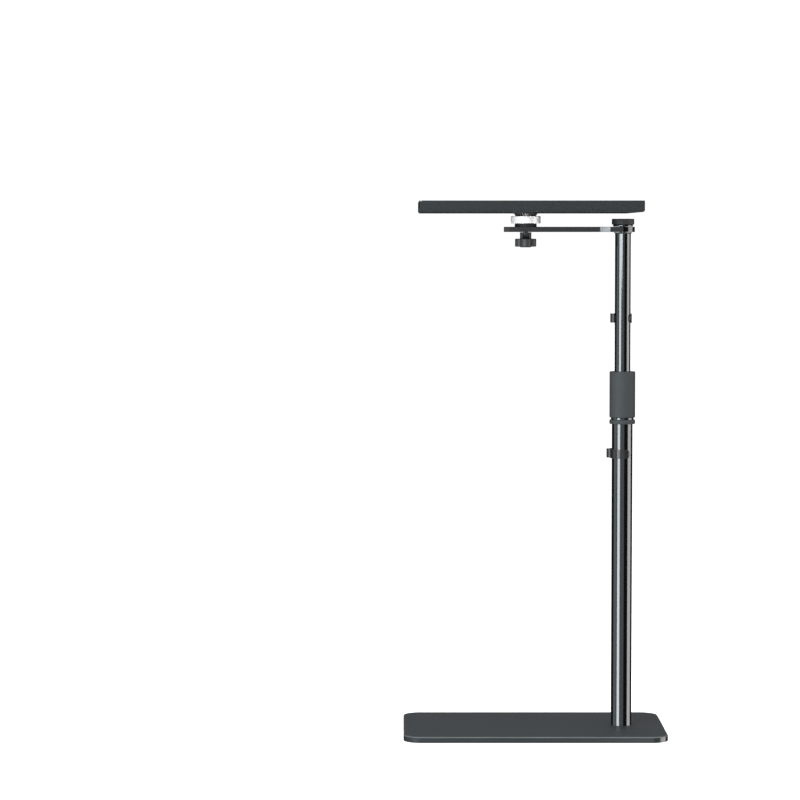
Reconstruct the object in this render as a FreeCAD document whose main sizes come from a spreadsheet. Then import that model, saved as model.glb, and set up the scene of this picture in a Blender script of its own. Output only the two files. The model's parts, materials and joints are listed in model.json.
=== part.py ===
import FreeCAD, Part
import os
import re
import Sketcher

# Floor stand with a pan-shaped tray on a ball head, carried by a telescopic pole on a flat base.
# Millimetres. +Z is up, +X runs from the free end of the base to the pole.
# The origin is the middle of the base's underside.

doc = FreeCAD.newDocument("FloorStand")
sheet = doc.addObject("Spreadsheet::Sheet", "Sizes")

drivingSizes = [
    ("BaseLength", 314, "steel base plate, along X"),
    ("BaseWidth", 186, "steel base plate, along Y"),
    ("PlateThickness", 7, "steel base plate"),
    ("BaseCornerRadius", 21, "vertical corners of the base plate"),
    ("BaseBevel", 1, "bevel round the top edge of the base plate"),
    ("EdgeBreak", 0.5, "broken edges of the turned pieces"),
    ("MatThickness", 0.8, "rubber mat under the base plate"),
    ("MatInset", 5, "mat behind the plate's edges"),
    ("MatHoleGap", 1, "mat clear of the screw head"),
    ("PoleInset", 50.5, "pole axis from the rear end of the base"),
    ("LowerTubeRadius", 12.5, "fixed tube"),
    ("UpperTubeRadius", 9.5, "sliding tube"),
    ("TubeWall", 1.5, "both tubes"),
    ("LowerTubeLength", 393, "fixed tube, above the base plate"),
    ("FootPlugLength", 26, "threaded plug in the foot of the fixed tube"),
    ("PoleScrewRadius", 4, "screw up into the foot plug"),
    ("PoleScrewReach", 20.8, "screw above the base plate"),
    ("PoleScrewHeadRadius", 7, "countersunk head in the base plate"),
    ("PoleScrewHeadDepth", 3.4, "countersunk head in the base plate"),
    ("HexKeySize", 5, "hexagon socket of the pole screw, across flats"),
    ("HexKeyDepth", 2.6, "hexagon socket of the pole screw"),
    ("ClampRingHeight", 5.4, "plain ring below the twist collar"),
    ("ClampDrop", 28.3, "ring's lower face below the fixed tube's top"),
    ("CollarRadius", 15.5, "twist collar and plain ring"),
    ("CollarGroove", 2, "between the ring and the collar"),
    ("CollarHeight", 55.7, "twist collar"),
    ("CollarChamfer", 1.1, "edges of the collar and ring at the groove"),
    ("ColletRadius", 13.6, "threaded sleeve inside the collar"),
    ("ColletLength", 52.5, "sleeve with its gripping fingers"),
    ("ColletNoseLength", 7, "tapered tip of the gripping fingers"),
    ("ColletTaper", 2, "tapered tip of the gripping fingers"),
    ("ColletSlotWidth", 1.6, "slots between the fingers"),
    ("ColletSlotDepth", 24, "slots between the fingers"),
    ("UpperTubeBottom", 212, "height of the sliding tube's lower end"),
    ("BushingLength", 22, "guide bushing on the sliding tube's lower end"),
    ("BushingLip", 3, "guide bushing below the tube's end"),
    ("FerruleRadius", 11.2, "cone under the arm"),
    ("FerruleHeight", 1.8, "cone under the arm"),
    ("TopPlugLength", 20, "threaded plug in the top of the sliding tube"),
    ("ArmBottom", 603, "height of the arm's underside"),
    ("ArmThickness", 6.3, "flat steel arm"),
    ("ArmHalfWidth", 14.5, "straight part of the arm"),
    ("ArmEyeRadius", 17.4, "round end of the arm at the pole"),
    ("ArmEyeReach", 14.2, "from the pole axis to the arm's end behind it"),
    ("ArmEyeFlat", 13.2, "parallel stretch beside the round end"),
    ("ArmFlareLength", 12, "where the arm widens towards the pole"),
    ("ArmTipReach", 26, "from the head axis to the arm's front end"),
    ("ArmTipCorner", 6, "cut corners of the arm's front end"),
    ("ArmEdge", 0.35, "rounding of the arm's upper and lower edges"),
    ("HeadReach", 116.8, "head axis from the pole axis"),
    ("CapWasherRadius", 12, "washer under the cap knob"),
    ("CapWasherHeight", 2.25, "washer under the cap knob"),
    ("CapWasherRim", 0.8, "rounding of the washer's outer rims"),
    ("CapRadius", 13.5, "cap knob"),
    ("CapHeight", 7.1, "cap knob"),
    ("CapFootChamfer", 0.6, "lower edge of the cap knob"),
    ("CapFluteRadius", 1.1, "grip grooves round the cap knob"),
    ("CapFluteDepth", 0.25, "grip grooves round the cap knob"),
    ("CapFlutes", 18, "grip grooves round the cap knob"),
    ("CapStudRadius", 4, "stud of the cap knob"),
    ("CapStudSeat", 4.3, "stud inside the cap knob"),
    ("CapStudReach", 14, "stud below the arm's underside"),
    ("DiscRadius", 13.2, "disc under the lock ring"),
    ("DiscHeight", 3.8, "disc under the lock ring"),
    ("RingRadius", 17.9, "lock ring"),
    ("RingHeight", 8.7, "lock ring"),
    ("RingWebHeight", 3.4, "lower part of the lock ring, screwed on the cup"),
    ("RingBore", 15.6, "open upper part of the lock ring"),
    ("RingMouth", 17, "lock ring's inner bevel, at its top"),
    ("RingMouthDepth", 1.9, "lock ring's inner bevel"),
    ("RingRim", 0.8, "rounding of the lock ring's outer rims"),
    ("CupRadius", 10.2, "cup that holds the ball"),
    ("BallRadius", 6.5, "ball of the head"),
    ("BallHeight", 8, "ball centre above the arm's top"),
    ("CupLip", 1.6, "cup above the ball's centre"),
    ("FitGap", 0.08, "radial running fit of pins, threads and the ball"),
    ("FaceGap", 0.3, "gap between faces that turn or slide on each other"),
    ("StemFootRadius", 4.8, "foot of the stem, on the ball"),
    ("StemTopRadius", 3.3, "top of the stem"),
    ("FlangeFootRadius", 13.8, "lower rim of the tray flange"),
    ("FlangeTopRadius", 16, "upper rim of the tray flange"),
    ("FlangeHeight", 3.9, "tray flange"),
    ("FlangeWeb", 1, "flange above its niches"),
    ("FlangeNicheHalfWidth", 8, "mouths of the four niches in the flange"),
    ("FlangeNicheRoot", 3, "half width of the niches at the head axis"),
    ("TraySize", 261, "square tray, over the lips"),
    ("TrayShift", 2, "tray's middle behind the head axis, towards the pole"),
    ("TrayHeight", 13.4, "tray with its lips"),
    ("SheetThickness", 1.5, "sheet metal of the tray"),
    ("TrayBend", 2.6, "outer radius of the folds"),
    ("TrayNotch", 2.6, "notch at the top of each corner"),
    ("TraySeam", 0.5, "open seam down each corner"),
    ("TraySeamBottom", 5, "lower end of the seam above the tray's underside"),
    ("TrayScrewRadius", 2.6, "screw through the tray into the stem"),
    ("TrayScrewHeadRadius", 4.4, "its sunk flat head"),
    ("TrayScrewSink", 0.2, "its head below the tray's floor"),
    ("TrayScrewTipGap", 0.5, "tray screw above the ball"),
    ("TrayScrewKeySize", 3, "its hexagon socket, across flats"),
    ("TrayScrewKeyDepth", 1.5, "its hexagon socket"),
    ("StudRadius", 3, "stud below the head"),
    ("StudEndCover", 2, "lobes below the stud's end"),
    ("KnobNeckRadius", 6.9, "neck of the clamp knob"),
    ("KnobNeckHeight", 7.9, "neck of the clamp knob"),
    ("KnobRadius", 12.8, "lobes of the clamp knob"),
    ("KnobHeight", 9.7, "lobes of the clamp knob"),
    ("KnobLobeHalfWidth", 6.8, "lobes of the clamp knob"),
    ("KnobBossHeight", 0.8, "boss under the lobes"),
    ("KnobFloor", 1, "lobes below the stud bore"),
    ("KnobLobes", 4, "lobes of the clamp knob"),
    ("KnobEdge", 0.8, "rounding of the lobes' rims"),
    ("ClipHeight", 11, "cable clips"),
    ("ClipWall", 1.4, "cable clips"),
    ("ClipHookRadius", 5, "outside of the hook for the cable"),
    ("ClipHookWall", 1.5, "hook for the cable"),
    ("ClipHookMouth", 60, "open angle of the hook"),
    ("ClipTongueRadius", 4.5, "rounded ends of the band"),
    ("LowerClipDrop", 36, "middle of the lower clip below the ring"),
    ("UpperClipDrop", 103.4, "middle of the upper clip below the arm"),
    ("UpperBandStart", -42, "upper band from this angle about the pole"),
    ("UpperBandWrap", 242, "upper band, angle"),
    ("UpperHookAngle", 129, "direction of the upper hook"),
    ("LowerBandStart", 70, "lower band from this angle about the pole"),
    ("LowerBandWrap", 236, "lower band, angle"),
    ("LowerHookAngle", 138.5, "direction of the lower hook"),
]
for row, (alias, size, note) in enumerate(drivingSizes, start=1):
    sheet.set(f"A{row}", alias)
    sheet.set(f"B{row}", str(size))
    sheet.set(f"C{row}", note)
    sheet.setAlias(f"B{row}", alias)
doc.recompute()

# Places that several pieces share, as expressions of the driving sizes.
POLE_X = "(BaseLength / 2 - PoleInset)"
PLATE_TOP = "(MatThickness + PlateThickness)"
LOWER_TUBE_TOP = f"({PLATE_TOP} + LowerTubeLength)"
LOWER_BORE = "(LowerTubeRadius - TubeWall)"
UPPER_BORE = "(UpperTubeRadius - TubeWall)"
RING_BOTTOM = f"({LOWER_TUBE_TOP} - ClampDrop)"
RING_TOP = f"({RING_BOTTOM} + ClampRingHeight)"
COLLET_TOP = f"({RING_TOP} + ColletLength)"
COLLAR_BOTTOM = f"({RING_TOP} + CollarGroove)"
COLLAR_TOP = f"({COLLAR_BOTTOM} + CollarHeight)"
ARM_SEAT = "(ArmBottom - FaceGap)"
ARM_TOP = "(ArmBottom + ArmThickness)"
TUBE_TOP = f"({ARM_SEAT} - FerruleHeight)"
STUD_END = "(ArmBottom - KnobNeckHeight - KnobHeight + StudEndCover)"
KNOB_BOTTOM = "(ArmBottom - KnobNeckHeight - KnobHeight - KnobBossHeight)"
CAP_FOOT = f"({ARM_TOP} + FaceGap)"
CAP_SHOULDER = f"({CAP_FOOT} + CapWasherHeight)"
HEAD_X = f"({POLE_X} - HeadReach)"
DISC_TOP = f"({ARM_TOP} + DiscHeight)"
LOCK_TOP = f"({DISC_TOP} + FaceGap + RingHeight)"
BALL_Z = f"({ARM_TOP} + BallHeight)"
TRAY_BOTTOM = f"({LOCK_TOP} + FlangeHeight)"
STEM_TOP = f"({TRAY_BOTTOM} - FaceGap)"
TRAY_FLOOR = f"({TRAY_BOTTOM} + SheetThickness)"

# A cut runs this far past the faces that it opens.
OVERRUN = "1"


def with_sheet(text):
    """Name the sheet in front of every alias of an expression."""
    return re.sub(r"\b([A-Z][a-z]\w*)", r"Sizes.\1", text)


def number(text):
    return float(sheet.evalExpression(with_sheet(text)))


def tie(item, prop, text):
    item.setExpression(prop, with_sheet(text))


def new_body(label, x="0", y="0", z="0"):
    body = doc.addObject("PartDesign::Body", label)
    body.Label = label
    tie(body, "Placement.Base.x", x)
    tie(body, "Placement.Base.y", y)
    tie(body, "Placement.Base.z", z)
    return body


def new_sketch(body, name, role, height="0"):
    sketch = body.newObject("Sketcher::SketchObject", name)
    face = next(item for item in body.Origin.OriginFeatures if item.Role == role)
    sketch.AttachmentSupport = [(face, "")]
    sketch.MapMode = "FlatFace"
    tie(sketch, "AttachmentOffset.Base.z", height)
    return sketch


def turn_sketch(sketch, angle):
    """Turn an upright sketch about the vertical axis of its body."""
    turn = FreeCAD.Rotation(FreeCAD.Vector(0, 1, 0), angle)
    sketch.AttachmentOffset = FreeCAD.Placement(FreeCAD.Vector(), turn)


def pin(sketch, geometry, point, x, y):
    """Hold one point of the sketch at two expressions."""
    for kind, text in (("DistanceX", x), ("DistanceY", y)):
        if text is not None:
            index = sketch.addConstraint(Sketcher.Constraint(kind, -1, 1, geometry, point, number(text)))
            tie(sketch, f"Constraints[{index}]", text)


def outline(sketch, corners):
    """A closed outline of straight edges, each corner held at its own expressions."""
    spots = [FreeCAD.Vector(number(x), number(y), 0) for x, y in corners]
    first = sketch.GeometryCount
    count = len(spots)
    for index, spot in enumerate(spots):
        sketch.addGeometry(Part.LineSegment(spot, spots[(index + 1) % count]))
    for index in range(count):
        following = first + (index + 1) % count
        sketch.addConstraint(Sketcher.Constraint("Coincident", first + index, 2, following, 1))
    for index, (x, y) in enumerate(corners):
        pin(sketch, first + index, 1, x, y)


def circle(sketch, x, y, radius):
    centre = FreeCAD.Vector(number(x), number(y), 0)
    index = sketch.addGeometry(Part.Circle(centre, FreeCAD.Vector(0, 0, 1), number(radius)))
    pin(sketch, index, 3, x, y)
    size = sketch.addConstraint(Sketcher.Constraint("Radius", index, number(radius)))
    tie(sketch, f"Constraints[{size}]", radius)


def feature(body, kind, name, sketch=None, **ties):
    item = body.newObject("PartDesign::" + kind, name)
    if sketch is not None:
        item.Profile = sketch
        sketch.Visibility = False
    for prop, text in ties.items():
        tie(item, prop, text)
    return item


def grooved(body, name, sketch):
    """Cut the sketch away all round its own upright axis."""
    cut = feature(body, "Groove", name, sketch)
    cut.ReferenceAxis = (sketch, ["V_Axis"])
    cut.Angle = 360


def turned(label, corners, x="0", y="0"):
    """A piece turned about its own vertical axis from an outline of radius and height."""
    body = new_body(label, x, y)
    sketch = new_sketch(body, label + "_outline", "XZ_Plane")
    outline(sketch, corners)
    turn = feature(body, "Revolution", label + "_turn", sketch)
    turn.ReferenceAxis = (sketch, ["V_Axis"])
    turn.Angle = 360
    return body


def round_edges(body, name, size, wanted, kind="Fillet"):
    """Fillet or chamfer the edges of the body's tip that the test picks."""
    doc.recompute()
    tip = body.Tip
    names = [f"Edge{i}" for i, edge in enumerate(tip.Shape.Edges, start=1) if wanted(edge)]
    item = body.newObject("PartDesign::" + kind, name)
    item.Base = (tip, names)
    tie(item, "Radius" if kind == "Fillet" else "Size", size)
    return item


def about(value, text, slack=1e-4):
    return abs(value - number(text)) < slack


def is_upright(edge):
    return edge.Curve.TypeId == "Part::GeomLine" and abs(edge.tangentAt(edge.FirstParameter).z) > 0.999


def flat_at(edge, height):
    """The edge lies level at this height of its body."""
    box = edge.BoundBox
    return about(box.ZMin, height) and about(box.ZMax, height)


def spans(edge, half):
    """The edge runs the whole side of a square of this half width."""
    return abs(edge.Length - 2 * number(half)) < 1


def square_edge(half):
    return [("-" + half, "-" + half), (half, "-" + half), (half, half), ("-" + half, half)]


def drilled(body, name, height, depth, radius, x="0"):
    """A round hole in the body, upward from this height."""
    sketch = new_sketch(body, name + "_circle", "XY_Plane", height)
    circle(sketch, x, "0", radius)
    item = feature(body, "Pocket", name, sketch, Length=depth)
    item.Reversed = True
    return item


def bored(body, name, bottom, thickness, radius, x="0"):
    """A round hole right through a flat piece."""
    return drilled(body, name, f"{bottom} - {OVERRUN}", f"{thickness} + 2 * {OVERRUN}", radius, x)


def repeated(body, source, name, count, sweep=360):
    """Copies of one feature round the body's vertical axis, the last at the end of a part turn."""
    pattern = body.newObject("PartDesign::PolarPattern", name)
    pattern.Originals = [source]
    axis = next(item for item in body.Origin.OriginFeatures if item.Role == "Z_Axis")
    pattern.Axis = (axis, [""])
    pattern.Angle = sweep
    tie(pattern, "Occurrences", count)
    body.Tip = pattern


def hexagon(sketch, across):
    """Outline of a hexagon socket, by its width across flats."""
    corner = f"({across} / sqrt(3))"
    outline(sketch, [
        (corner, "0"), (f"{corner} / 2", f"{across} / 2"), (f"-{corner} / 2", f"{across} / 2"),
        (f"-{corner}", "0"), (f"-{corner} / 2", f"-{across} / 2"), (f"{corner} / 2", f"-{across} / 2"),
    ])


# Base

def base_plate():
    body = new_body("base_plate", POLE_X, "0", "MatThickness")
    sketch = new_sketch(body, "plate_outline", "XY_Plane")
    front, back = "-(BaseLength - PoleInset)", "PoleInset"
    outline(sketch, [(front, "-BaseWidth / 2"), (back, "-BaseWidth / 2"),
                     (back, "BaseWidth / 2"), (front, "BaseWidth / 2")])
    feature(body, "Pad", "plate_pad", sketch, Length="PlateThickness")
    round_edges(body, "plate_corners", "BaseCornerRadius", is_upright)
    round_edges(body, "plate_bevel", "BaseBevel", lambda edge: flat_at(edge, "PlateThickness"), "Chamfer")
    hole = new_sketch(body, "screw_hole_outline", "XZ_Plane")
    outline(hole, [
        ("0", "-" + OVERRUN), ("PoleScrewHeadRadius + FitGap", "-" + OVERRUN),
        ("PoleScrewHeadRadius + FitGap", "FaceGap"), ("PoleScrewRadius + FitGap", "PoleScrewHeadDepth"),
        ("PoleScrewRadius + FitGap", "PlateThickness + " + OVERRUN), ("0", "PlateThickness + " + OVERRUN),
    ])
    grooved(body, "screw_hole", hole)
    return body


def rubber_mat():
    body = new_body("rubber_mat", POLE_X)
    sketch = new_sketch(body, "mat_outline", "XY_Plane")
    front, back = "-(BaseLength - PoleInset - MatInset)", "(PoleInset - MatInset)"
    side = "(BaseWidth / 2 - MatInset)"
    outline(sketch, [(front, "-" + side), (back, "-" + side), (back, side), (front, side)])
    feature(body, "Pad", "mat_pad", sketch, Length="MatThickness")
    round_edges(body, "mat_corners", "BaseCornerRadius - MatInset", is_upright)
    bored(body, "key_hole", "0", "MatThickness", "PoleScrewHeadRadius + MatHoleGap")
    return body


def pole_screw():
    body = turned("pole_screw", [
        ("0", "MatThickness + FaceGap"), ("PoleScrewHeadRadius", "MatThickness + FaceGap"),
        ("PoleScrewRadius", "MatThickness + PoleScrewHeadDepth"),
        ("PoleScrewRadius", f"{PLATE_TOP} + PoleScrewReach"), ("0", f"{PLATE_TOP} + PoleScrewReach"),
    ], POLE_X)
    socket = new_sketch(body, "socket_outline", "XY_Plane", "MatThickness + FaceGap")
    hexagon(socket, "HexKeySize")
    cut = feature(body, "Pocket", "hex_socket", socket, Length="HexKeyDepth")
    cut.Reversed = True
    return body


def foot_plug():
    return turned("foot_plug", [
        ("PoleScrewRadius + FitGap", PLATE_TOP), (f"{LOWER_BORE} - FitGap", PLATE_TOP),
        (f"{LOWER_BORE} - FitGap", f"{PLATE_TOP} + FootPlugLength"),
        ("PoleScrewRadius + FitGap", f"{PLATE_TOP} + FootPlugLength"),
    ], POLE_X)


def tube(label, bore, radius, bottom, top):
    return turned(label, [(bore, bottom), (radius, bottom), (radius, top), (bore, top)], POLE_X)


def clamp_ring():
    return turned("clamp_ring", [
        ("LowerTubeRadius + FitGap", RING_BOTTOM), ("CollarRadius - EdgeBreak", RING_BOTTOM),
        ("CollarRadius", f"{RING_BOTTOM} + EdgeBreak"), ("CollarRadius", f"{RING_TOP} - CollarChamfer"),
        ("CollarRadius - CollarChamfer", RING_TOP), ("LowerTubeRadius + FitGap", RING_TOP),
    ], POLE_X)


def clamp_collet():
    body = turned("clamp_collet", [
        ("LowerTubeRadius + FitGap", RING_TOP), ("ColletRadius", RING_TOP),
        ("ColletRadius", f"{COLLET_TOP} - ColletNoseLength"), ("ColletRadius - ColletTaper", COLLET_TOP),
        ("UpperTubeRadius + FitGap", COLLET_TOP), ("UpperTubeRadius + FitGap", LOWER_TUBE_TOP),
        ("LowerTubeRadius + FitGap", LOWER_TUBE_TOP),
    ], POLE_X)
    slot = new_sketch(body, "slot_outline", "XZ_Plane")
    outline(slot, [("-ColletSlotWidth / 2", f"{COLLET_TOP} - ColletSlotDepth"),
                   ("ColletSlotWidth / 2", f"{COLLET_TOP} - ColletSlotDepth"),
                   ("ColletSlotWidth / 2", f"{COLLET_TOP} + {OVERRUN}"),
                   ("-ColletSlotWidth / 2", f"{COLLET_TOP} + {OVERRUN}")])
    cut = feature(body, "Pocket", "slot", slot, Length="2 * (ColletRadius + ColletSlotWidth)")
    cut.Midplane = True
    repeated(body, cut, "slots", "2", 90)
    return body


def twist_collar():
    return turned("twist_collar", [
        ("ColletRadius + FaceGap", COLLAR_BOTTOM), ("CollarRadius - CollarChamfer", COLLAR_BOTTOM),
        ("CollarRadius", f"{COLLAR_BOTTOM} + CollarChamfer"), ("CollarRadius", f"{COLLAR_TOP} - EdgeBreak"),
        ("CollarRadius - EdgeBreak", COLLAR_TOP), ("UpperTubeRadius + FaceGap", COLLAR_TOP),
        ("UpperTubeRadius + FaceGap", f"{COLLET_TOP} + FaceGap"),
        ("ColletRadius - ColletTaper + FaceGap", f"{COLLET_TOP} + FaceGap"),
        ("ColletRadius + FaceGap", f"{COLLET_TOP} - ColletNoseLength + FaceGap"),
    ], POLE_X)


# Upper pole

def slide_bushing():
    return turned("slide_bushing", [
        (UPPER_BORE, "UpperTubeBottom - BushingLip"),
        (f"{LOWER_BORE} - FaceGap", "UpperTubeBottom - BushingLip"),
        (f"{LOWER_BORE} - FaceGap", "UpperTubeBottom + BushingLength"),
        ("UpperTubeRadius + FitGap", "UpperTubeBottom + BushingLength"),
        ("UpperTubeRadius + FitGap", "UpperTubeBottom"), (UPPER_BORE, "UpperTubeBottom"),
    ], POLE_X)


def top_ferrule():
    return turned("top_ferrule", [
        ("CapStudRadius + FaceGap", f"{TUBE_TOP} - TopPlugLength"),
        (f"{UPPER_BORE} - FitGap", f"{TUBE_TOP} - TopPlugLength"), (f"{UPPER_BORE} - FitGap", TUBE_TOP),
        ("UpperTubeRadius", TUBE_TOP), ("FerruleRadius", ARM_SEAT), ("CapStudRadius + FaceGap", ARM_SEAT),
    ], POLE_X)


# Cable clips

def part_turn(body, name, inner, outer, height, start, sweep, x="0"):
    """An upright wall turned part of the way round its own vertical axis."""
    sketch = new_sketch(body, name + "_section", "XZ_Plane")
    turn_sketch(sketch, number(start))
    tie(sketch, "AttachmentOffset.Base.x", x)
    tie(sketch, "AttachmentOffset.Rotation.Angle", start)
    outline(sketch, [(inner, "0"), (outer, "0"), (outer, height), (inner, height)])
    turn = feature(body, "Revolution", name, sketch, Angle=sweep)
    turn.ReferenceAxis = (sketch, ["V_Axis"])


def cable_clip(label, tube_radius, middle, start, wrap, hook_angle):
    """A spring band round the tube with a small open hook for a cable."""
    body = new_body(label, POLE_X, "0", f"{middle} - ClipHeight / 2")
    tie(body, "Placement.Rotation.Angle", hook_angle)
    inner = f"({tube_radius} + FitGap)"
    outer = f"({tube_radius} + FitGap + ClipWall)"
    part_turn(body, label + "_band", inner, outer, "ClipHeight", f"{start} - {hook_angle}", wrap)
    round_edges(body, label + "_tongues", "ClipTongueRadius",
                lambda edge: edge.Curve.TypeId == "Part::GeomLine" and about(edge.Length, "ClipWall")
                and (flat_at(edge, "0") or flat_at(edge, "ClipHeight")))
    reach = f"({outer} + ClipHookRadius - ClipHookWall)"
    part_turn(body, label + "_hook", "(ClipHookRadius - ClipHookWall)", "ClipHookRadius", "ClipHeight",
              "ClipHookMouth / 2", "360 - ClipHookMouth", reach)
    return body


def joined(kind, name, first, second):
    item = doc.addObject("Part::" + kind, name)
    item.Base, item.Tool = first, second
    return item


# Arm and its clamps

def arm():
    body = new_body("arm", POLE_X, "0", "ArmBottom")
    sketch = new_sketch(body, "arm_outline", "XY_Plane")
    eye = "(ArmEyeReach - ArmEyeRadius)"
    half = [("-(HeadReach + ArmTipReach)", "ArmHalfWidth"),
            (f"{eye} - ArmEyeFlat - ArmFlareLength", "ArmHalfWidth"),
            (f"{eye} - ArmEyeFlat", "ArmEyeRadius"), (eye, "ArmEyeRadius")]
    outline(sketch, half + [(x, "-" + y) for x, y in reversed(half)])
    feature(body, "Pad", "arm_bar", sketch, Length="ArmThickness")
    round_edges(body, "arm_tip", "ArmTipCorner",
                lambda edge: is_upright(edge) and about(edge.BoundBox.XMin, "-(HeadReach + ArmTipReach)"),
                "Chamfer")
    disc = new_sketch(body, "eye_circle", "XY_Plane")
    circle(disc, eye, "0", "ArmEyeRadius")
    feature(body, "Pad", "arm_eye", disc, Length="ArmThickness")
    round_edges(body, "arm_rims", "ArmEdge", lambda edge: flat_at(edge, "0") or flat_at(edge, "ArmThickness"))
    bored(body, "pole_hole", "0", "ArmThickness", "CapStudRadius + FaceGap")
    bored(body, "head_hole", "0", "ArmThickness", "StudRadius + FitGap", "-HeadReach")
    return body


def cap_washer():
    body = turned("cap_washer", [
        ("CapStudRadius + FitGap", CAP_FOOT), ("CapWasherRadius", CAP_FOOT),
        ("CapWasherRadius", CAP_SHOULDER), ("CapStudRadius + FitGap", CAP_SHOULDER),
    ], POLE_X)
    round_edges(body, "washer_rims", "CapWasherRim",
                lambda edge: about(edge.BoundBox.XLength, "2 * CapWasherRadius", 0.01))
    return body


def cap_knob():
    body = turned("cap_knob", [
        ("0", CAP_SHOULDER), ("CapRadius - CapFootChamfer", CAP_SHOULDER),
        ("CapRadius", f"{CAP_SHOULDER} + CapFootChamfer"),
        ("CapRadius", f"{CAP_SHOULDER} + CapHeight - EdgeBreak"),
        ("CapRadius - EdgeBreak", f"{CAP_SHOULDER} + CapHeight"), ("0", f"{CAP_SHOULDER} + CapHeight"),
    ], POLE_X)
    flute = drilled(body, "flute", CAP_SHOULDER, f"CapHeight + {OVERRUN}", "CapFluteRadius",
                    "CapRadius + CapFluteRadius - CapFluteDepth")
    repeated(body, flute, "flutes", "CapFlutes")
    drilled(body, "stud_seat", CAP_SHOULDER, "CapStudSeat", "CapStudRadius + FitGap")
    return body


def cap_stud():
    return turned("cap_stud", [
        ("0", "ArmBottom - CapStudReach"), ("CapStudRadius", "ArmBottom - CapStudReach"),
        ("CapStudRadius", f"{CAP_SHOULDER} + CapStudSeat"), ("0", f"{CAP_SHOULDER} + CapStudSeat"),
    ], POLE_X)


def head_disc():
    return turned("head_disc", [
        ("CupRadius + FitGap", ARM_TOP), ("DiscRadius", ARM_TOP), ("DiscRadius", f"{DISC_TOP} - EdgeBreak"),
        ("DiscRadius - EdgeBreak", DISC_TOP), ("CupRadius + FitGap", DISC_TOP),
    ], HEAD_X)


def sphere(name, radius):
    item = doc.addObject("Part::Sphere", name)
    tie(item, "Radius", radius)
    tie(item, "Placement.Base.x", HEAD_X)
    tie(item, "Placement.Base.z", BALL_Z)
    return item


def ball_cup():
    blank = turned("cup_blank", [
        ("0", STUD_END), ("StudRadius", STUD_END), ("StudRadius", ARM_TOP), ("CupRadius", ARM_TOP),
        ("CupRadius", f"{BALL_Z} + CupLip"), ("0", f"{BALL_Z} + CupLip"),
    ], HEAD_X)
    cup = joined("Cut", "ball_cup", blank, sphere("cup_seat", "BallRadius + FitGap"))
    cup.Label = "ball_cup"
    return cup


def lock_ring():
    foot = f"({DISC_TOP} + FaceGap)"
    body = turned("lock_ring", [
        ("CupRadius + FaceGap", foot), ("RingRadius", foot), ("RingRadius", LOCK_TOP),
        ("RingMouth", LOCK_TOP), ("RingBore", f"{LOCK_TOP} - RingMouthDepth"),
        ("RingBore", f"{foot} + RingWebHeight"), ("CupRadius + FaceGap", f"{foot} + RingWebHeight"),
    ], HEAD_X)
    round_edges(body, "ring_rims", "RingRim",
                lambda edge: about(edge.BoundBox.XLength, "2 * RingRadius", 0.01)
                and (flat_at(edge, foot) or flat_at(edge, LOCK_TOP)))
    return body


def tilt_ball():
    ball = sphere("tilt_ball", "BallRadius")
    ball.Label = "tilt_ball"
    return ball


def ball_stem():
    blank = turned("stem_blank", [
        ("TrayScrewRadius + FitGap", BALL_Z), ("StemFootRadius", BALL_Z), ("StemFootRadius", LOCK_TOP),
        ("StemTopRadius", STEM_TOP), ("TrayScrewRadius + FitGap", STEM_TOP),
    ], HEAD_X)
    stem = joined("Cut", "ball_stem", blank, sphere("stem_seat", "BallRadius + FitGap"))
    stem.Label = "ball_stem"
    return stem


def tray_flange():
    body = turned("tray_flange", [
        ("StemFootRadius + FaceGap", LOCK_TOP), ("FlangeFootRadius", LOCK_TOP),
        ("FlangeTopRadius", TRAY_BOTTOM), ("StemFootRadius + FaceGap", TRAY_BOTTOM),
    ], HEAD_X)
    niche = new_sketch(body, "niche_outline", "XY_Plane", f"{LOCK_TOP} - {OVERRUN}")
    outline(niche, [("0", "-FlangeNicheRoot"), (f"FlangeTopRadius + {OVERRUN}", "-FlangeNicheHalfWidth"),
                    (f"FlangeTopRadius + {OVERRUN}", "FlangeNicheHalfWidth"), ("0", "FlangeNicheRoot")])
    cut = feature(body, "Pocket", "niche", niche, Length=f"FlangeHeight - FlangeWeb + {OVERRUN}")
    cut.Reversed = True
    repeated(body, cut, "niches", "4")
    return body


def corner_cut(body, name, corners):
    """Cut the four corners of the tray along its diagonals."""
    sketch = new_sketch(body, name + "_outline", "YZ_Plane")
    turn_sketch(sketch, 45)
    outline(sketch, corners)
    cut = feature(body, "Pocket", name, sketch, Length="TraySize * 2")
    cut.Midplane = True
    repeated(body, cut, name + "_pair", "2", 90)


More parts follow.
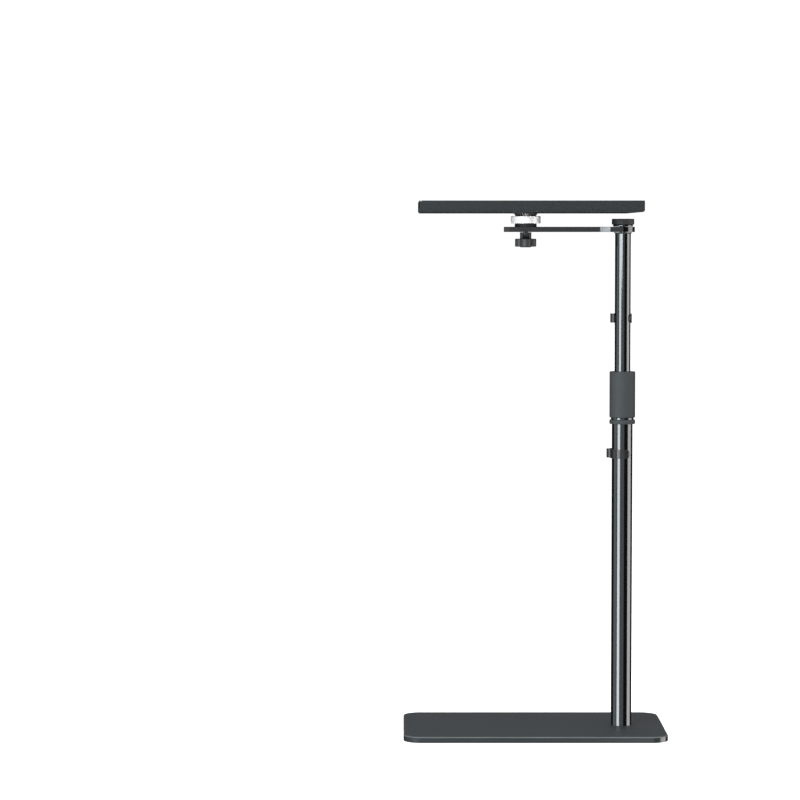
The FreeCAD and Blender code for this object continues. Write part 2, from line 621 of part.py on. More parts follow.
def tray():
    body = new_body("tray", HEAD_X + " + TrayShift", "0", TRAY_BOTTOM)
    sketch = new_sketch(body, "tray_outline", "XY_Plane")
    half = "(TraySize / 2)"
    outline(sketch, square_edge(half))
    feature(body, "Pad", "tray_block", sketch, Length="TrayHeight")
    round_edges(body, "tray_folds", "TrayBend", lambda edge: flat_at(edge, "0"))
    well = new_sketch(body, "well_outline", "XY_Plane", "SheetThickness")
    outline(well, square_edge(f"({half} - SheetThickness)"))
    cut = feature(body, "Pocket", "tray_well", well, Length="TrayHeight")
    cut.Reversed = True
    inner = f"({half} - SheetThickness)"
    round_edges(body, "inner_folds", "TrayBend - SheetThickness",
                lambda edge: flat_at(edge, "SheetThickness") and spans(edge, inner))
    sink = new_sketch(body, "screw_sink_outline", "XZ_Plane")
    tie(sink, "AttachmentOffset.Base.x", "-TrayShift")
    outline(sink, [
        ("0", "-" + OVERRUN), ("TrayScrewRadius + FitGap", "-" + OVERRUN), ("TrayScrewRadius + FitGap", "0"),
        ("TrayScrewHeadRadius + FitGap", "SheetThickness - TrayScrewSink"),
        ("TrayScrewHeadRadius + FitGap", "SheetThickness + " + OVERRUN), ("0", "SheetThickness + " + OVERRUN),
    ])
    grooved(body, "screw_sink", sink)
    corner_cut(body, "notch", [
        ("-TrayNotch", f"TrayHeight + {OVERRUN}"), ("-TraySeam / 2", "TrayHeight - TrayNotch"),
        ("TraySeam / 2", "TrayHeight - TrayNotch"), ("TrayNotch", f"TrayHeight + {OVERRUN}")])
    corner_cut(body, "seam", [
        ("-TraySeam / 2", "TraySeamBottom"), ("TraySeam / 2", "TraySeamBottom"),
        ("TraySeam / 2", "TrayHeight"), ("-TraySeam / 2", "TrayHeight")])
    return body


def tray_screw():
    tip = f"({BALL_Z} + BallRadius + TrayScrewTipGap)"
    head_top = f"({TRAY_FLOOR} - TrayScrewSink)"
    body = turned("tray_screw", [
        ("0", tip), ("TrayScrewRadius", tip), ("TrayScrewRadius", TRAY_BOTTOM),
        ("TrayScrewHeadRadius", head_top), ("0", head_top),
    ], HEAD_X)
    socket = new_sketch(body, "key_outline", "XY_Plane", head_top)
    hexagon(socket, "TrayScrewKeySize")
    feature(body, "Pocket", "key_socket", socket, Length="TrayScrewKeyDepth")
    return body


def clamp_knob():
    neck_top = "(ArmBottom - FaceGap)"
    lobes_top = "(ArmBottom - KnobNeckHeight)"
    lobes_foot = "(ArmBottom - KnobNeckHeight - KnobHeight)"
    floor = f"({lobes_foot} + KnobFloor)"
    body = turned("clamp_knob", [
        ("StudRadius + FitGap", neck_top), ("KnobNeckRadius", neck_top), ("KnobNeckRadius", KNOB_BOTTOM),
        ("0", KNOB_BOTTOM), ("0", floor), ("StudRadius + FitGap", floor),
    ], HEAD_X)
    lobe = new_sketch(body, "lobe_outline", "XZ_Plane")
    tie(lobe, "AttachmentOffset.Base.x", "KnobRadius - KnobLobeHalfWidth")
    outline(lobe, [
        ("0", lobes_foot), ("KnobLobeHalfWidth - KnobEdge", lobes_foot),
        ("KnobLobeHalfWidth", f"{lobes_foot} + KnobEdge"), ("KnobLobeHalfWidth", f"{lobes_top} - KnobEdge"),
        ("KnobLobeHalfWidth - KnobEdge", lobes_top), ("0", lobes_top),
    ])
    turn = feature(body, "Revolution", "lobe", lobe)
    turn.ReferenceAxis = (lobe, ["V_Axis"])
    turn.Angle = 360
    repeated(body, turn, "lobes", "KnobLobes")
    drilled(body, "stud_bore", floor, f"ArmBottom - {floor}", "StudRadius + FitGap")
    return body


parts = [
    base_plate(),
    rubber_mat(),
    pole_screw(),
    foot_plug(),
    tube("lower_tube", LOWER_BORE, "LowerTubeRadius", PLATE_TOP, LOWER_TUBE_TOP),
    clamp_ring(),
    clamp_collet(),
    cable_clip("lower_clip", "LowerTubeRadius", f"{RING_BOTTOM} - LowerClipDrop", "LowerBandStart",
               "LowerBandWrap", "LowerHookAngle"),
    twist_collar(),
    tube("upper_tube", UPPER_BORE, "UpperTubeRadius", "UpperTubeBottom", TUBE_TOP),
    slide_bushing(),
    top_ferrule(),
    cable_clip("upper_clip", "UpperTubeRadius", "ArmBottom - UpperClipDrop", "UpperBandStart",
               "UpperBandWrap", "UpperHookAngle"),
    arm(),
    cap_washer(),
    cap_knob(),
    cap_stud(),
    head_disc(),
    ball_cup(),
    lock_ring(),
    tilt_ball(),
    ball_stem(),
    tray_flange(),
    tray(),
    tray_screw(),
    clamp_knob(),
]
doc.recompute()

failed = [item.Label for item in doc.Objects if {"Invalid", "Error"} & set(item.State)]
if failed:
    raise RuntimeError("these did not build: " + ", ".join(failed))
for part in parts:
    if part.Shape.isNull() or not part.Shape.isValid():
        raise RuntimeError(part.Label + " has no valid shape")

os.makedirs("parts", exist_ok=True)
for part in parts:
    part.Shape.exportStep(f"parts/{part.Label}.step")
    box = part.Shape.BoundBox
    print(f"{part.Label:14s} solids {len(part.Shape.Solids)} volume {part.Shape.Volume:10.1f}"
          f" x {box.XMin:.1f}..{box.XMax:.1f} y {box.YMin:.1f}..{box.YMax:.1f}"
          f" z {box.ZMin:.1f}..{box.ZMax:.1f}")
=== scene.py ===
import json
import math

import bpy
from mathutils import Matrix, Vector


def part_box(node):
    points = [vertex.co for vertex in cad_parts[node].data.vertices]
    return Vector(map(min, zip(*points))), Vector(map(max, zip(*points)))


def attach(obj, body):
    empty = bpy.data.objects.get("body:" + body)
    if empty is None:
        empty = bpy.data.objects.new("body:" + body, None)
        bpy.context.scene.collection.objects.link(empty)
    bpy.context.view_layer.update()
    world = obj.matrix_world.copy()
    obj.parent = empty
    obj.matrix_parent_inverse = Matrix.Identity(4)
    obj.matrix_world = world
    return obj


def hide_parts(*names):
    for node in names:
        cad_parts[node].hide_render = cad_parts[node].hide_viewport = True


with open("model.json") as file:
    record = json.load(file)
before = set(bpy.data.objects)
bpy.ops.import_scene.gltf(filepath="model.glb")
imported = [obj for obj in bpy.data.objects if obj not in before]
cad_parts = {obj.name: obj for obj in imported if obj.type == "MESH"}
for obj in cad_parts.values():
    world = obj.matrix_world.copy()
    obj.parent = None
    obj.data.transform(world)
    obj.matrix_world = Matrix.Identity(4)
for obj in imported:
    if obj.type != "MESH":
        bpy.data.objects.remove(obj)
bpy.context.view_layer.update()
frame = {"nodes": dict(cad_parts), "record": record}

nodes = frame["nodes"]
print("frame loaded,", len(nodes), "nodes")


# Camera, as the photograph sees the stand

cameraSettings = {
    "place": (-0.1611, -3.5898, 0.6012),
    "lookDown": 3.19,    # degrees
    "lens": 134.4,
    "sensor": 36,
}


def addCamera(settings):
    data = bpy.data.cameras.new("photoCamera")
    data.lens = settings["lens"]
    data.sensor_width = settings["sensor"]
    camera = bpy.data.objects.new("photoCamera", data)
    camera.location = settings["place"]
    camera.rotation_euler = (math.radians(90 - settings["lookDown"]), 0, 0)
    bpy.context.scene.collection.objects.link(camera)
    bpy.context.scene.camera = camera
    bpy.context.scene.view_settings.view_transform = "Standard"


addCamera(cameraSettings)
print("camera placed")


# Studio: panels stand round the pole, each at an angle in degrees from the direction of the camera,
# with those on the left below zero

tubeLow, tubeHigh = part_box("lower_tube")
poleX = (tubeLow.x + tubeHigh.x) / 2

studioSettings = {
    "panels": {
        "keyStrip": {"angle": -41.2, "distance": 1.5, "size": (0.74, 2.4), "middle": 0.5, "glow": 4.8,
                     "colour": (0.93, 0.985, 1)},
        "headGlint": {"angle": -18, "distance": 1.5, "size": (0.3, 0.16), "middle": 0.61, "glow": 8.5,
                      "colour": (0.93, 0.985, 1)},
        "frontWash": {"angle": 0, "distance": 1.6, "size": (1.8, 0.5), "middle": 0.62, "glow": 6,
                      "colour": (1, 1, 1), "glossy": False},
        "frontFill": {"angle": -4, "distance": 1.6, "size": (1.35, 2.4), "middle": 0.5, "glow": 0.4,
                      "colour": (0.95, 0.98, 1)},
        "leftFill": {"angle": -84, "distance": 1.5, "size": (1.1, 2.4), "middle": 0.5, "glow": 0.6,
                     "colour": (1, 1, 1)},
        "rightBox": {"angle": 85, "distance": 1.4, "size": (1.14, 2.4), "middle": 0.5, "glow": 2.7,
                     "colour": (1, 0.95, 0.92), "diffuse": False},
        "backFill": {"angle": 180, "distance": 1.8, "size": (1.6, 2.4), "middle": 0.5, "glow": 0.06,
                     "colour": (1, 1, 1)},
        "backWash": {"angle": 180, "distance": 1.8, "size": (1.8, 1.0), "middle": 0.7, "glow": 2.5,
                     "colour": (1, 1, 1), "glossy": False},
    },
    "top": {"place": (0, 0, 2.2), "aim": (0, 0.001, 0), "size": (1.8, 1.8), "glow": 3, "colour": (1, 1, 1)},
    "background": 1.05,    # a little past white, so that the backdrop is white all over
    "ambient": 0.35,
    # what glossy faces mirror besides the panels, from straight down (-1) to straight up (1)
    "mirrored": [(-1.0, 0.6), (-0.75, 0.6), (-0.45, 0.05), (0.15, 0.03), (0.6, 0.35), (1.0, 0.5)],
    "floor": {"size": 30, "colour": (0.6, 0.6, 0.6, 1), "glow": 0.95, "rough": 0.9},
}
panelPower = 4    # watts per square metre of a panel for each unit of glow, which is what a mirror would show


def deselectAll():
    bpy.ops.object.select_all(action="DESELECT")


def addPanel(name, place, target, settings):
    data = bpy.data.lights.new(name, "AREA")
    data.shape = "RECTANGLE"
    data.size, data.size_y = settings["size"]
    data.energy = panelPower * settings["glow"] * data.size * data.size_y
    data.color = settings["colour"]
    panel = bpy.data.objects.new(name, data)
    panel.location = place
    direction = [t - p for t, p in zip(target, place)]
    spin = math.atan2(direction[1], direction[0]) - math.pi / 2
    tilt = math.atan2(math.hypot(direction[0], direction[1]), -direction[2])
    panel.rotation_euler = (tilt, 0, spin)
    panel.visible_camera = False
    panel.visible_diffuse = settings.get("diffuse", True)    # off where a panel is for the reflections alone
    panel.visible_glossy = settings.get("glossy", True)    # off where it only lights
    bpy.context.scene.collection.objects.link(panel)


def addStudio(settings):
    for name, panel in settings["panels"].items():
        angle, distance, middle = math.radians(panel["angle"]), panel["distance"], panel["middle"]
        place = (poleX + distance * math.sin(angle), -distance * math.cos(angle), middle)
        addPanel(name, place, (poleX, 0, middle), panel)
    addPanel("topBox", settings["top"]["place"], settings["top"]["aim"], settings["top"])


def coordinate(tree, kind, axis):
    # one axis of a texture coordinate
    split = tree.nodes.new("ShaderNodeSeparateXYZ")
    tree.links.new(tree.nodes.new("ShaderNodeTexCoord").outputs[kind], split.inputs["Vector"])
    return split.outputs[axis]


def mapRange(tree, value, source=(0, 1), result=(0, 1)):
    # from one span of values to another
    node = tree.nodes.new("ShaderNodeMapRange")
    for label, level in zip(("From Min", "From Max", "To Min", "To Max"), (*source, *result)):
        node.inputs[label].default_value = level
    tree.links.new(value, node.inputs["Value"])
    return node.outputs["Result"]


def mixShaders(tree, share, first, second):
    mix = tree.nodes.new("ShaderNodeMixShader")
    for socket, source in zip(mix.inputs, (share, first, second)):
        tree.links.new(source, socket)
    return mix.outputs[0]


def addWorld(settings):
    world = bpy.data.worlds.new("studio")
    bpy.context.scene.world = world
    world.use_nodes = True
    tree = world.node_tree
    tree.nodes.clear()
    room = tree.nodes.new("ShaderNodeValToRGB")
    tree.links.new(mapRange(tree, coordinate(tree, "Generated", "Z"), (-1, 1)), room.inputs["Fac"])
    stops = room.color_ramp.elements
    while len(stops) < len(settings["mirrored"]):
        stops.new(0.5)
    for stop, (level, glow) in zip(stops, settings["mirrored"]):
        stop.position = (level + 1) / 2
        stop.color = (glow, glow, glow, 1)
    shades = []
    for strength in (settings["ambient"], 1, settings["background"]):
        shade = tree.nodes.new("ShaderNodeBackground")
        shade.inputs["Color"].default_value = (1, 1, 1, 1)
        shade.inputs["Strength"].default_value = strength
        shades.append(shade)
    ambient, mirrored, backdrop = shades
    tree.links.new(room.outputs["Color"], mirrored.inputs["Color"])
    ray = tree.nodes.new("ShaderNodeLightPath").outputs
    lit = mixShaders(tree, ray["Is Glossy Ray"], ambient.outputs[0], mirrored.outputs[0])
    seen = mixShaders(tree, ray["Is Camera Ray"], lit, backdrop.outputs[0])
    out = tree.nodes.new("ShaderNodeOutputWorld")
    tree.links.new(seen, out.inputs["Surface"])


def addFloor(settings):
    deselectAll()
    bpy.ops.mesh.primitive_plane_add(size=settings["size"], location=(0, 0, 0))
    floor = bpy.context.object
    floor.name = "studioFloor"
    paint = bpy.data.materials.new("floorPaint")
    paint.use_nodes = True
    shader = paint.node_tree.nodes["Principled BSDF"]
    shader.inputs["Base Color"].default_value = settings["colour"]
    shader.inputs["Roughness"].default_value = settings["rough"]
    shader.inputs["Specular IOR Level"].default_value = 0
    shader.inputs["Emission Color"].default_value = (1, 1, 1, 1)
    shader.inputs["Emission Strength"].default_value = settings["glow"]
    floor.data.materials.append(paint)
    floor.visible_glossy = False    # the floor neither shows in the glossy tubes nor lights the stand
    floor.visible_diffuse = False


addStudio(studioSettings)
addWorld(studioSettings)
addFloor(studioSettings["floor"])
print("studio lit")


# Shader node groups that several finishes share

noiseSettings = {
    "grain": {"detail": 3.0, "roughness": 0.55},
    "clouds": {"detail": 4.0, "roughness": 0.6},
}
edgeBreaks = {"clouds": (0.3, 0.6), "mask": (0.6, 1)}    # the mask is weaker where the clouds are thin


def newGroup(name, inputs, outputs):
    tree = bpy.data.node_groups.new(name, "ShaderNodeTree")
    for label, kind, value in inputs:
        socket = tree.interface.new_socket(label, in_out="INPUT", socket_type=kind)
        socket.default_value = value
    for label, kind in outputs:
        tree.interface.new_socket(label, in_out="OUTPUT", socket_type=kind)
    return tree, tree.nodes.new("NodeGroupInput"), tree.nodes.new("NodeGroupOutput")


def addNoise(tree, vector, scale, settings):
    noise = tree.nodes.new("ShaderNodeTexNoise")
    noise.inputs["Detail"].default_value = settings["detail"]
    noise.inputs["Roughness"].default_value = settings["roughness"]
    tree.links.new(vector, noise.inputs["Vector"])
    tree.links.new(scale, noise.inputs["Scale"])
    return noise.outputs["Fac"]


def calculate(tree, operation, first, second):
    node = tree.nodes.new("ShaderNodeMath")
    node.operation = operation
    for socket, value in zip(node.inputs, (first, second)):
        if isinstance(value, (int, float)):
            socket.default_value = value
        else:
            tree.links.new(value, socket)
    return node.outputs[0]


def makeFinishGroup():
    # fine grain for the bump, and a soft cloudiness for colour and roughness
    tree, inside, outside = newGroup(
        "finishGrain",
        [("Grain Scale", "NodeSocketFloat", 1200.0), ("Cloud Scale", "NodeSocketFloat", 18.0),
         ("Pits", "NodeSocketFloat", 0.3)],
        [("Grain", "NodeSocketFloat"), ("Clouds", "NodeSocketFloat")])
    place = tree.nodes.new("ShaderNodeTexCoord").outputs["Object"]
    grain = addNoise(tree, place, inside.outputs["Grain Scale"], noiseSettings["grain"])
    clouds = addNoise(tree, place, inside.outputs["Cloud Scale"], noiseSettings["clouds"])
    pits = tree.nodes.new("ShaderNodeTexVoronoi")
    tree.links.new(place, pits.inputs["Vector"])
    tree.links.new(inside.outputs["Grain Scale"], pits.inputs["Scale"])
    deep = calculate(tree, "MULTIPLY", pits.outputs["Distance"], inside.outputs["Pits"])
    tree.links.new(calculate(tree, "ADD", grain, deep), outside.inputs["Grain"])
    tree.links.new(clouds, outside.inputs["Clouds"])
    return tree


def makeEdgeGroup():
    # a mask of the rounded edges, by how far their faces lean, broken up by the clouds; it places the painted
    # edge highlights and the base's glaze
    tree, inside, outside = newGroup(
        "edgeLeanMask",
        [("Lean", "NodeSocketFloat", 0.6), ("Spread", "NodeSocketFloat", 0.3),
         ("Clouds", "NodeSocketFloat", 0.5)],
        [("Mask", "NodeSocketFloat")])
    off = calculate(tree, "SUBTRACT", coordinate(tree, "Normal", "Z"), inside.outputs["Lean"])
    near = calculate(tree, "LESS_THAN", calculate(tree, "ABSOLUTE", off, 0), inside.outputs["Spread"])
    broken = mapRange(tree, inside.outputs["Clouds"], edgeBreaks["clouds"], edgeBreaks["mask"])
    tree.links.new(calculate(tree, "MULTIPLY", near, broken), outside.inputs["Mask"])
    return tree


finishGrain = makeFinishGroup()
edgeLeanMask = makeEdgeGroup()


# Finishes: scales are per metre and depths in metres. A lean is the height of the normals that an edge mask
# picks, and how far they may be from it. The gloss of a glaze grows between two places along the base

finishes = {
    "baseCoat": {
        "dark": (0.0187, 0.0227, 0.0249), "light": (0.0222, 0.0262, 0.0285), "rough": (0.46, 0.52),
        "ior": 1.3, "grainScale": 1500, "cloudScale": 9, "pits": 0.5, "bump": 0.04,
        # a lighter colour painted along the base's upper rounded edges: a painted highlight, in place of the
        # light those edges catch
        "paintedHighlight": {"colour": (0.085, 0.095, 0.1), "lean": (0.6, 0.34)},
        "glaze": {"rough": 0.14, "ior": 1.65, "lean": (0.0, 0.3), "along": (0.0, 0.13)}},
    "trayCoat": {
        "dark": (0.0135, 0.016, 0.0172), "light": (0.0162, 0.019, 0.0204), "rough": (0.62, 0.7),
        "ior": 1.22, "grainScale": 1500, "cloudScale": 9, "pits": 0.5, "bump": 0.05,
        # a lighter colour painted along the lower bend of the tray's lips: a painted highlight, in place of
        # the light that bend catches
        "paintedHighlight": {"colour": (0.03, 0.035, 0.038), "lean": (-0.78, 0.17)}},
    "armCoat": {
        "dark": (0.083, 0.087, 0.09), "light": (0.09, 0.0945, 0.097), "rough": (0.12, 0.15),
        "metal": 1, "grainScale": 300, "cloudScale": 12, "pits": 0, "bump": 0.001},
    "blackTube": {
        "dark": (0.1, 0.106, 0.11), "light": (0.112, 0.118, 0.122), "rough": (0.1, 0.13),
        "metal": 1, "grainScale": 300, "cloudScale": 6, "pits": 0, "bump": 0.001},
    "collarCoat": {
        "dark": (0.034, 0.038, 0.04), "light": (0.04, 0.044, 0.046), "rough": (0.56, 0.62),
        "ior": 1.25, "grainScale": 2500, "cloudScale": 20, "pits": 0.3, "bump": 0.02},
    "blackPlastic": {
        "dark": (0.011, 0.012, 0.013), "light": (0.015, 0.016, 0.017), "rough": (0.5, 0.56),
        "ior": 1.3, "grainScale": 1800, "cloudScale": 40, "pits": 0.2, "bump": 0.02},
    "capPlastic": {
        "dark": (0.022, 0.024, 0.026), "light": (0.028, 0.03, 0.032), "rough": (0.5, 0.56),
        "ior": 1.3, "grainScale": 1800, "cloudScale": 40, "pits": 0.1, "bump": 0.008},
    "knobPlastic": {
        "dark": (0.03, 0.032, 0.033), "light": (0.035, 0.037, 0.038), "rough": (0.28, 0.33),
        "ior": 1.33, "grainScale": 1800, "cloudScale": 40, "pits": 0.1, "bump": 0.008},
    "clipPlastic": {
        "dark": (0.012, 0.013, 0.014), "light": (0.017, 0.018, 0.019), "rough": (0.16, 0.2),
        "grainScale": 1800, "cloudScale": 60, "pits": 0.1, "bump": 0.008},
    "ringMetal": {
        "dark": (0.95, 0.95, 0.96), "light": (0.97, 0.97, 0.975), "rough": (0.4, 0.45),
        "metal": 0.4, "grainScale": 2500, "cloudScale": 30, "pits": 0, "bump": 0.004},
    "ballSteel": {
        "dark": (0.66, 0.66, 0.67), "light": (0.74, 0.74, 0.75), "rough": (0.1, 0.16),
        "metal": 1, "grainScale": 2500, "cloudScale": 30, "pits": 0, "bump": 0.002},
    "innerPlastic": {
        "dark": (0.03, 0.03, 0.031), "light": (0.04, 0.04, 0.041), "rough": (0.45, 0.55),
        "grainScale": 1500, "cloudScale": 40, "pits": 0.3, "bump": 0.03},
    "screwSteel": {
        "dark": (0.3, 0.3, 0.31), "light": (0.4, 0.4, 0.41), "rough": (0.3, 0.4),
        "metal": 1, "grainScale": 2500, "cloudScale": 80, "pits": 0.2, "bump": 0.01},
    "matRubber": {
        "dark": (0.012, 0.012, 0.012), "light": (0.02, 0.02, 0.02), "rough": (0.75, 0.85),
        "grainScale": 700, "cloudScale": 30, "pits": 0.6, "bump": 0.2, "depth": 0.0003},
}
commonIor = 1.5
grainDepth = 0.0002


def mixColours(tree, share, first, second):
    # each colour is a plain one or the output of a node
    mix = tree.nodes.new("ShaderNodeMix")
    mix.data_type = "RGBA"
    for label, colour in (("A", first), ("B", second)):
        if isinstance(colour, tuple):
            mix.inputs[label].default_value = (*colour, 1)
        else:
            tree.links.new(colour, mix.inputs[label])
    tree.links.new(share, mix.inputs["Factor"])
    return mix.outputs["Result"]


def edgeMask(tree, clouds, lean):
    maskNode = tree.nodes.new("ShaderNodeGroup")
    maskNode.node_tree = edgeLeanMask
    maskNode.inputs["Lean"].default_value, maskNode.inputs["Spread"].default_value = lean
    tree.links.new(clouds, maskNode.inputs["Clouds"])
    return maskNode.outputs["Mask"]


def makeFinish(name, settings):
    paint = bpy.data.materials.new(name)
    paint.use_nodes = True
    tree = paint.node_tree
    shader = tree.nodes["Principled BSDF"]
    shader.inputs["Metallic"].default_value = settings.get("metal", 0)
    shader.inputs["IOR"].default_value = settings.get("ior", commonIor)
    grain = tree.nodes.new("ShaderNodeGroup")
    grain.node_tree = finishGrain
    grain.inputs["Grain Scale"].default_value = settings["grainScale"]
    grain.inputs["Cloud Scale"].default_value = settings["cloudScale"]
    grain.inputs["Pits"].default_value = settings["pits"]
    clouds = grain.outputs["Clouds"]
    colour = mixColours(tree, clouds, settings["dark"], settings["light"])
    # painted highlight: a lighter colour mixed in along the edges that the lean picks
    if "paintedHighlight" in settings:
        paintedHighlight = settings["paintedHighlight"]
        colour = mixColours(tree, edgeMask(tree, clouds, paintedHighlight["lean"]), colour, paintedHighlight["colour"])
    if "glaze" in settings:
        glaze = settings["glaze"]
        shader.inputs["Coat Roughness"].default_value = glaze["rough"]
        shader.inputs["Coat IOR"].default_value = glaze["ior"]
        growth = mapRange(tree, coordinate(tree, "Object", "X"), glaze["along"])
        glazed = calculate(tree, "MULTIPLY", edgeMask(tree, clouds, glaze["lean"]), growth)
        tree.links.new(glazed, shader.inputs["Coat Weight"])
    tree.links.new(colour, shader.inputs["Base Color"])
    tree.links.new(mapRange(tree, clouds, result=settings["rough"]), shader.inputs["Roughness"])
    bump = tree.nodes.new("ShaderNodeBump")
    bump.inputs["Strength"].default_value = settings["bump"]
    bump.inputs["Distance"].default_value = settings.get("depth", grainDepth)
    tree.links.new(grain.outputs["Grain"], bump.inputs["Height"])
    tree.links.new(bump.outputs["Normal"], shader.inputs["Normal"])
    return paint


finish = {name: makeFinish(name, settings) for name, settings in finishes.items()}

slotFinish = {
    "base_coat": "baseCoat", "tray_coat": "trayCoat", "arm_coat": "armCoat", "black_tube": "blackTube",
    "collar_coat": "collarCoat", "black_plastic": "blackPlastic", "clip_plastic": "clipPlastic",
    "ring_metal": "ringMetal", "ball_steel": "ballSteel", "inner_plastic": "innerPlastic",
    "screw_steel": "screwSteel", "mat_rubber": "matRubber",
}


def dress(piece, slot, own=None):
    # a piece's own finish, or else the one of its slot
    piece.data.materials.clear()
    piece.data.materials.append(finish[own or slotFinish[slot]])


for subpart in frame["record"]["subparts"]:
    dress(nodes[subpart["node"]], subpart["material_slot"])
dress(nodes["tray_flange"], "black_plastic", "knobPlastic")
print("nodes dressed")


# Modelling tools that several pieces share

slack = 5e-5    # how far an edge may lie from where it is looked for
upward = 0.9    # the least height of a normal that points up
mergeDistance = 1e-6
flatAngle = 0.4    # degrees, between faces that a copy joins into one
softAngle = 35    # degrees, from which an edge is softened
smoothAngle = 32    # degrees, up to which an edge is shaded smooth


def startEdit(piece):
    deselectAll()
    piece.select_set(True)
    bpy.context.view_layer.objects.active = piece
    bpy.ops.object.mode_set(mode="EDIT")
    bpy.ops.mesh.select_all(action="DESELECT")


def pick(piece, kind, wanted):
    # select the faces, edges or vertices that the test picks, with the piece in edit mode
    bpy.ops.mesh.select_mode(type=kind)
    bpy.ops.mesh.select_all(action="DESELECT")
    bpy.ops.object.mode_set(mode="OBJECT")
    mesh = piece.data
    items = {"FACE": mesh.polygons, "EDGE": mesh.edges, "VERT": mesh.vertices}[kind]
    for item in items:
        item.select = bool(wanted(item))
    bpy.ops.object.mode_set(mode="EDIT")


def edgeEnds(piece, edge):
    return [piece.data.vertices[index].co for index in edge.vertices]


def reach(centre, point):
    # how far a point is from an upright axis
    return math.hypot(point.x - centre[0], point.y - centre[1])


def isRing(piece, centre, radius, height):
    # a test for the edges of one level circle about an upright axis
    def wanted(edge):
        return all(abs(reach(centre, end) - radius) <= slack and abs(end.z - height) <= slack
                   for end in edgeEnds(piece, edge))
    return wanted


def bevelRings(piece, centre, rings):
    for radius, height, width, segments in rings:
        pick(piece, "EDGE", isRing(piece, centre, radius, height))
        bpy.ops.mesh.bevel(offset=width, segments=segments, affect="EDGES")


def turnPiece(name, centre, profile, sides):
    # a solid of revolution: a cylinder whose top is drawn on through the radii and heights of its profile
    (foot, low), (rim, high) = profile[:2]
    deselectAll()
    bpy.ops.mesh.primitive_cylinder_add(
        vertices=sides, radius=foot, depth=high - low, location=(*centre, (low + high) / 2))
    piece = bpy.context.object
    piece.name = name
    bpy.ops.object.transform_apply(location=True, rotation=True, scale=True)
    startEdit(piece)
    pick(piece, "FACE", lambda face: face.normal.z > upward)
    bpy.ops.transform.resize(value=(rim / foot, rim / foot, 1), center_override=(*centre, high))
    for radius, height in profile[2:]:
        bpy.ops.mesh.extrude_region_move(TRANSFORM_OT_translate={"value": (0, 0, height - high)})
        bpy.ops.transform.resize(value=(radius / rim, radius / rim, 1), center_override=(*centre, height))
        rim, high = radius, height
    bpy.ops.object.mode_set(mode="OBJECT")
    return piece


def useModifier(piece, kind, **values):
    deselectAll()
    piece.select_set(True)
    bpy.context.view_layer.objects.active = piece
    modifier = piece.modifiers.new(kind.lower(), kind)
    for name, value in values.items():
        setattr(modifier, name, value)
    bpy.ops.object.modifier_apply(modifier=modifier.name)


def copyNode(node, name):
    # a merged copy of a CAD node, to be softened as a piece of its own
    piece = bpy.data.objects.new(name, nodes[node].data.copy())
    bpy.context.scene.collection.objects.link(piece)
    startEdit(piece)
    bpy.ops.mesh.select_all(action="SELECT")
    bpy.ops.mesh.remove_doubles(threshold=mergeDistance)
    bpy.ops.mesh.dissolve_limited(angle_limit=math.radians(flatAngle))
    bpy.ops.object.mode_set(mode="OBJECT")
    return piece


def finishPiece(piece, settings):
    # smooth shading, finish, body and slot of a piece, and the nodes that it stands for
    startEdit(piece)
    bpy.ops.mesh.select_all(action="SELECT")
    bpy.ops.mesh.normals_make_consistent(inside=False)
    bpy.ops.object.mode_set(mode="OBJECT")
    bpy.ops.object.shade_smooth_by_angle(angle=math.radians(settings.get("smooth", smoothAngle)))
    useModifier(piece, "WEIGHTED_NORMAL", keep_sharp=True)    # keeps the flat faces flat beside soft edges
    dress(piece, settings["slot"], settings.get("finish"))
    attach(piece, settings["body"])
    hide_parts(*settings["stands for"])


# Cap knob: shallow flutes, soft rims and a dished top

capKnobSettings = {
    "body": "cap", "slot": "black_plastic", "stands for": ["cap_knob"], "finish": "capPlastic",
    "sides": 144, "flutes": 24, "fluteDepth": 0.00012, "footChamfer": 0.0006, "rim": 0.0009, "rimSegments": 4,
    "dishRim": 0.0022, "dishDepth": 0.0005, "dishEase": 0.0003, "dishSegments": 2, "smooth": 40,
}


def makeCapKnob(settings):
    low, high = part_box("cap_knob")
    centre = ((low.x + high.x) / 2, (low.y + high.y) / 2)
    radius = (high.x - low.x) / 2
    chamfer, dish = settings["footChamfer"], radius - settings["dishRim"]
    dishDepth = settings["dishDepth"]
    piece = turnPiece("capKnob", centre, [
        (radius - chamfer, low.z), (radius, low.z + chamfer), (radius, high.z), (dish, high.z),
        (dish - dishDepth, high.z - dishDepth), (dish / 2, high.z - dishDepth),
    ], settings["sides"])
    startEdit(piece)
    step = settings["sides"] // settings["flutes"]
    turn = 2 * math.pi / settings["sides"]
    inner = (radius + dish) / 2    # past it, only the side is left

    def isFlute(vertex):
        place = round(math.atan2(vertex.co.y - centre[1], vertex.co.x - centre[0]) / turn)
        return place % step == 0 and reach(centre, vertex.co) > inner

    pick(piece, "VERT", isFlute)
    shrink = 1 - settings["fluteDepth"] / radius
    bpy.ops.transform.resize(value=(shrink, shrink, 1), center_override=(*centre, low.z))

    def isRim(edge):
        return all(abs(end.z - high.z) < slack and reach(centre, end) > inner
                   for end in edgeEnds(piece, edge))

    pick(piece, "EDGE", isRim)
    bpy.ops.mesh.bevel(offset=settings["rim"], segments=settings["rimSegments"], affect="EDGES")
    bevelRings(piece, centre, [(dish, high.z, settings["dishEase"], settings["dishSegments"])])
    bpy.ops.object.mode_set(mode="OBJECT")
    finishPiece(piece, settings)


makeCapKnob(capKnobSettings)
print("cap knob made")


# Clamp knob: four rounded lobes round a neck

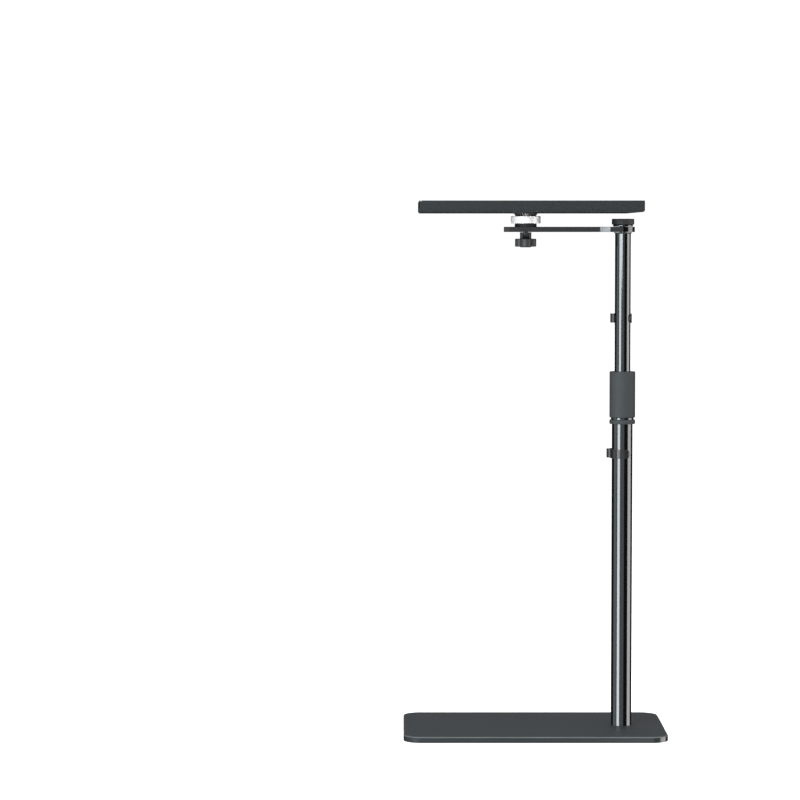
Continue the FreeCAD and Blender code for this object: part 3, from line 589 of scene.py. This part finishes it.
clampKnobSettings = {
    "body": "hand_knob", "slot": "black_plastic", "stands for": ["clamp_knob"], "finish": "knobPlastic",
    "neckRadius": 0.0069, "neckHeight": 0.0076, "neckRim": 0.00015, "neckSegments": 2,
    "boreRadius": 0.00308, "boreDepth": 0.0163, "bossRadius": 0.0068, "bossHeight": 0.0008,
    "bossEase": 0.0008, "lobes": 4, "lobeRadius": 0.0068, "lobeRim": 0.0011, "lobeSegments": 4,
    "sides": 64, "smooth": 40,
}


def makeClampKnob(settings):
    low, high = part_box("clamp_knob")
    centre = ((low.x + high.x) / 2, (low.y + high.y) / 2)
    foot, top = low.z + settings["bossHeight"], high.z - settings["neckHeight"]
    neck, boss, bore = settings["neckRadius"], settings["bossRadius"], settings["boreRadius"]
    lobeRadius, rim, segments = settings["lobeRadius"], settings["lobeRim"], settings["lobeSegments"]
    piece = turnPiece("clampKnob", centre, [
        (boss - settings["bossEase"], low.z), (boss, foot), (neck, foot + rim), (neck, high.z),
        (bore, high.z), (bore, high.z - settings["boreDepth"]),
    ], settings["sides"])
    startEdit(piece)
    bevelRings(piece, centre, [(neck, high.z, settings["neckRim"], settings["neckSegments"])])
    bpy.ops.object.mode_set(mode="OBJECT")
    spread = (high.x - low.x) / 2 - lobeRadius
    for index in range(settings["lobes"]):
        angle = 2 * math.pi * index / settings["lobes"]
        spot = (centre[0] + spread * math.cos(angle), centre[1] + spread * math.sin(angle))
        lobe = turnPiece("lobe", spot, [(lobeRadius, foot), (lobeRadius, top)], settings["sides"])
        startEdit(lobe)
        bevelRings(lobe, spot, [(lobeRadius, foot, rim, segments), (lobeRadius, top, rim, segments)])
        bpy.ops.object.mode_set(mode="OBJECT")
        useModifier(piece, "BOOLEAN", operation="UNION", solver="EXACT", object=lobe)
        bpy.data.objects.remove(lobe)
    finishPiece(piece, settings)


makeClampKnob(clampKnobSettings)
print("clamp knob made")


# The tray, the base, the clips, the collar with its ring, and the head's disc keep the shapes of the CAD
# with softened edges. A width is how far the softening reaches from an edge

softNodes = {
    "trayPan": {
        "node": "tray", "body": "tray_head", "slot": "tray_coat", "width": 0.00035, "segments": 2},
    "basePlate": {
        "node": "base_plate", "body": "base", "slot": "base_coat", "width": 0.0008, "segments": 3},
    "lowerClip": {
        "node": "lower_clip", "body": "base", "slot": "clip_plastic", "width": 0.0003, "segments": 2},
    "upperClip": {
        "node": "upper_clip", "body": "upper_pole", "slot": "clip_plastic", "width": 0.0003, "segments": 2},
    "collarSleeve": {
        "node": "twist_collar", "body": "collar", "slot": "collar_coat", "width": 0.0003, "segments": 2},
    "plainRing": {
        "node": "clamp_ring", "body": "base", "slot": "collar_coat", "width": 0.0003, "segments": 2},
    "headPlate": {
        "node": "head_disc", "body": "swing_arm", "slot": "black_plastic", "width": 0.0002, "segments": 2},
}


def softenNode(name, settings):
    piece = copyNode(settings["node"], name)
    useModifier(piece, "BEVEL", width=settings["width"], segments=settings["segments"], limit_method="ANGLE",
                angle_limit=math.radians(softAngle))
    finishPiece(piece, {**settings, "stands for": [settings["node"]]})
    return piece


softPieces = {name: softenNode(name, settings) for name, settings in softNodes.items()}
for piece in (softPieces["basePlate"], nodes["rubber_mat"]):
    piece.visible_glossy = False    # so that the foot of the tube mirrors the panels down to the plate
print("edges softened")
